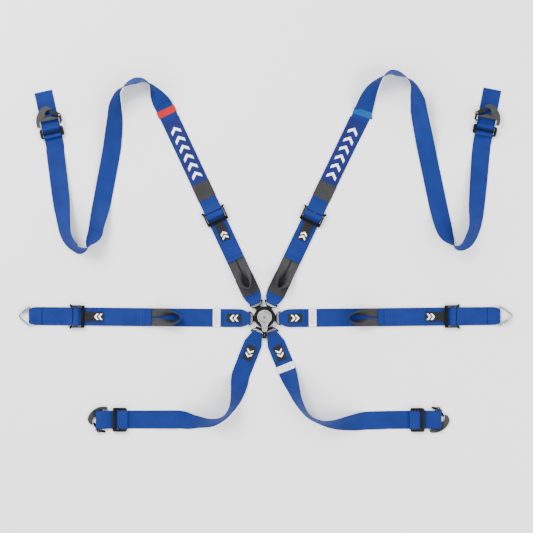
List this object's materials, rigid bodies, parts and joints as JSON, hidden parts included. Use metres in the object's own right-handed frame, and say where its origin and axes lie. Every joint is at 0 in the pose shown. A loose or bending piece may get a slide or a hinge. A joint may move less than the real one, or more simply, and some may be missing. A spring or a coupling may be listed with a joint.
{
  "type": "racing harness",
  "caption": "Six-point racing harness laid flat: rotary cam buckle, webbing straps with tilting adjusters and pull loops, snap hooks and screw links.",
  "frame": {"origin": "centre of the rotary buckle's back face, on the surface the harness lies on", "axes": "+Z out of the buckle's face, +Y towards the shoulder straps, +X along the lap strap on the picture's right"},
  "size_m": [1.358, 0.999, 0.0523],
  "materials": {
    "webbing": "woven polyester webbing, satin",
    "loop_webbing": "dark grey woven webbing, matt",
    "tab": "black padded fabric tab, matt",
    "black_steel": "black powder coat, satin",
    "buckle_black": "black anodised, satin",
    "hook_steel": "gunmetal phosphated steel, satin",
    "gate_steel": "black stamped steel, satin",
    "lever_metal": "fine turned silver aluminium",
    "inner_steel": "zinc plated steel",
    "link_steel": "zinc plated, bright satin"
  },
  "bodies": {
    "buckle": {"buckle_base": "buckle_black", "buckle_housing": "buckle_black", "buckle_screws": "inner_steel", "buckle_return_spring": "inner_steel"},
    "lever": {"buckle_lever": "lever_metal", "buckle_lever_screw": "inner_steel", "buckle_spindle": "inner_steel", "buckle_cam": "inner_steel"},
    "latch": {"buckle_latch_pins": "inner_steel"},
    "shoulder_left": {"shoulder_left_tongue": "black_steel", "shoulder_left_lower_strap": "webbing", "shoulder_left_main_strap": "webbing", "shoulder_left_lock_bar": "black_steel", "shoulder_left_pull_loop": "loop_webbing", "shoulder_left_slider": "black_steel"},
    "shoulder_left_adjuster": {"shoulder_left_adjuster_frame": "black_steel", "shoulder_left_adjuster_tab": "tab"},
    "shoulder_left_hook": {"shoulder_left_hook": "hook_steel", "shoulder_left_hook_gate_pin": "inner_steel"},
    "shoulder_left_gate": {"shoulder_left_hook_gate": "gate_steel"},
    "shoulder_right": {"shoulder_right_tongue": "black_steel", "shoulder_right_lower_strap": "webbing", "shoulder_right_main_strap": "webbing", "shoulder_right_lock_bar": "black_steel", "shoulder_right_pull_loop": "loop_webbing", "shoulder_right_slider": "black_steel"},
    "shoulder_right_adjuster": {"shoulder_right_adjuster_frame": "black_steel", "shoulder_right_adjuster_tab": "tab"},
    "shoulder_right_hook": {"shoulder_right_hook": "hook_steel", "shoulder_right_hook_gate_pin": "inner_steel"},
    "shoulder_right_gate": {"shoulder_right_hook_gate": "gate_steel"},
    "lap_left": {"lap_left_tongue": "black_steel", "lap_left_strap": "webbing", "lap_left_anchor_strap": "webbing", "lap_left_lock_bar": "black_steel", "lap_left_pull_loop": "loop_webbing"},
    "lap_left_adjuster": {"lap_left_adjuster_frame": "black_steel", "lap_left_adjuster_tab": "tab"},
    "lap_left_link": {"lap_left_link": "link_steel"},
    "lap_left_sleeve": {"lap_left_link_sleeve": "link_steel"},
    "lap_right": {"lap_right_tongue": "black_steel", "lap_right_strap": "webbing", "lap_right_anchor_strap": "webbing", "lap_right_lock_bar": "black_steel", "lap_right_pull_loop": "loop_webbing"},
    "lap_right_adjuster": {"lap_right_adjuster_frame": "black_steel", "lap_right_adjuster_tab": "tab"},
    "lap_right_link": {"lap_right_link": "link_steel"},
    "lap_right_sleeve": {"lap_right_link_sleeve": "link_steel"},
    "crotch": {"crotch_tongue": "black_steel", "crotch_left_strap": "webbing", "crotch_right_strap": "webbing", "crotch_left_slider": "black_steel", "crotch_right_slider": "black_steel"},
    "crotch_left_hook": {"crotch_left_hook": "hook_steel", "crotch_left_hook_gate_pin": "inner_steel"},
    "crotch_left_gate": {"crotch_left_hook_gate": "gate_steel"},
    "crotch_right_hook": {"crotch_right_hook": "hook_steel", "crotch_right_hook_gate_pin": "inner_steel"},
    "crotch_right_gate": {"crotch_right_hook_gate": "gate_steel"}
  },
  "joints": [
    {"name": "lever_turn", "type": "hinge", "parent": "buckle", "child": "lever", "pos_m": [0, 0, 0.02], "axis": [0, 0, 1], "range_deg": [0, 45], "stiffness_Nm_per_rad": 0.4},
    {"name": "latch_lift", "type": "slide", "parent": "buckle", "child": "latch", "axis": [0, 0, 1], "range_m": [0, 0.002]},
    {"name": "shoulder_left_release", "type": "slide", "parent": "buckle", "child": "shoulder_left", "axis": [-0.4226, 0.9063, 0], "range_m": [0, 0.03]},
    {"name": "shoulder_left_adjuster_tilt", "type": "hinge", "parent": "shoulder_left", "child": "shoulder_left_adjuster", "pos_m": [-0.14208, 0.29183, 0.004], "axis": [-0.9063, -0.4226, 0], "range_deg": [0, 35]},
    {"name": "shoulder_left_hook_swing", "type": "hinge", "parent": "shoulder_left", "child": "shoulder_left_hook", "pos_m": [-0.59396, 0.55141, 0.0057], "axis": [0.9763, 0.2164, 0], "range_deg": [0, 20]},
    {"name": "shoulder_left_gate_open", "type": "hinge", "parent": "shoulder_left_hook", "child": "shoulder_left_gate", "pos_m": [-0.56331, 0.55411, 0.012], "axis": [0, 0, 1], "range_deg": [0, 22], "stiffness_Nm_per_rad": 0.05},
    {"name": "shoulder_right_release", "type": "slide", "parent": "buckle", "child": "shoulder_right", "axis": [0.4305, 0.9026, 0], "range_m": [0, 0.03]},
    {"name": "shoulder_right_adjuster_tilt", "type": "hinge", "parent": "shoulder_right", "child": "shoulder_right_adjuster", "pos_m": [0.13862, 0.29063, 0.004], "axis": [-0.9026, 0.4305, 0], "range_deg": [0, 35]},
    {"name": "shoulder_right_hook_swing", "type": "hinge", "parent": "shoulder_right", "child": "shoulder_right_hook", "pos_m": [0.61328, 0.55766, 0.0057], "axis": [0.9816, -0.1908, 0], "range_deg": [0, 20]},
    {"name": "shoulder_right_gate_open", "type": "hinge", "parent": "shoulder_right_hook", "child": "shoulder_right_gate", "pos_m": [0.58257, 0.55955, 0.012], "axis": [0, 0, -1], "range_deg": [0, 22], "stiffness_Nm_per_rad": 0.05},
    {"name": "lap_left_release", "type": "slide", "parent": "buckle", "child": "lap_left", "axis": [-0.9999, 0.0105, 0], "range_m": [0, 0.03]},
    {"name": "lap_left_adjuster_tilt", "type": "hinge", "parent": "lap_left", "child": "lap_left_adjuster", "pos_m": [-0.53097, 0.00126, 0.004], "axis": [-0.0105, -0.9999, 0], "range_deg": [0, 35]},
    {"name": "lap_left_link_swing", "type": "hinge", "parent": "lap_left", "child": "lap_left_link", "pos_m": [-0.64397, 0.00244, 0.0046], "axis": [0.0105, 0.9999, 0], "range_deg": [-75, 75]},
    {"name": "lap_left_sleeve_turn", "type": "hinge", "parent": "lap_left_link", "child": "lap_left_sleeve", "pos_m": [-0.67696, 0.00279, 0.0046], "axis": [0.758, 0.6522, 0], "continuous": true},
    {"name": "lap_right_release", "type": "slide", "parent": "buckle", "child": "lap_right", "axis": [0.9999, 0.0105, 0], "range_m": [0, 0.03]},
    {"name": "lap_right_adjuster_tilt", "type": "hinge", "parent": "lap_right", "child": "lap_right_adjuster", "pos_m": [0.53097, 0.00126, 0.004], "axis": [-0.0105, 0.9999, 0], "range_deg": [0, 35]},
    {"name": "lap_right_link_swing", "type": "hinge", "parent": "lap_right", "child": "lap_right_link", "pos_m": [0.64397, 0.00244, 0.0046], "axis": [0.0105, -0.9999, 0], "range_deg": [-75, 75]},
    {"name": "lap_right_sleeve_turn", "type": "hinge", "parent": "lap_right_link", "child": "lap_right_sleeve", "pos_m": [0.68496, 0.00287, 0.0046], "axis": [-0.8103, -0.586, 0], "continuous": true},
    {"name": "crotch_release", "type": "slide", "parent": "buckle", "child": "crotch", "axis": [0, -1, 0], "range_m": [0, 0.03]},
    {"name": "crotch_left_hook_swing", "type": "hinge", "parent": "crotch", "child": "crotch_left_hook", "pos_m": [-0.4595, -0.2825, 0.0085], "axis": [0, 1, 0], "range_deg": [0, 60]},
    {"name": "crotch_left_gate_open", "type": "hinge", "parent": "crotch_left_hook", "child": "crotch_left_gate", "pos_m": [-0.4555, -0.313, 0.002], "axis": [0, 0, -1], "range_deg": [0, 22], "stiffness_Nm_per_rad": 0.05},
    {"name": "crotch_right_hook_swing", "type": "hinge", "parent": "crotch", "child": "crotch_right_hook", "pos_m": [0.4815, -0.28246, 0.0085], "axis": [0.0087, -1, 0], "range_deg": [0, 60]},
    {"name": "crotch_right_gate_open", "type": "hinge", "parent": "crotch_right_hook", "child": "crotch_right_gate", "pos_m": [0.47723, -0.25199, 0.002], "axis": [0, 0, -1], "range_deg": [0, 22], "stiffness_Nm_per_rad": 0.05}
  ],
  "couplings": [
    {"joint": "latch_lift", "follows": "lever_turn", "m_per_rad": 0.002544}
  ]
}
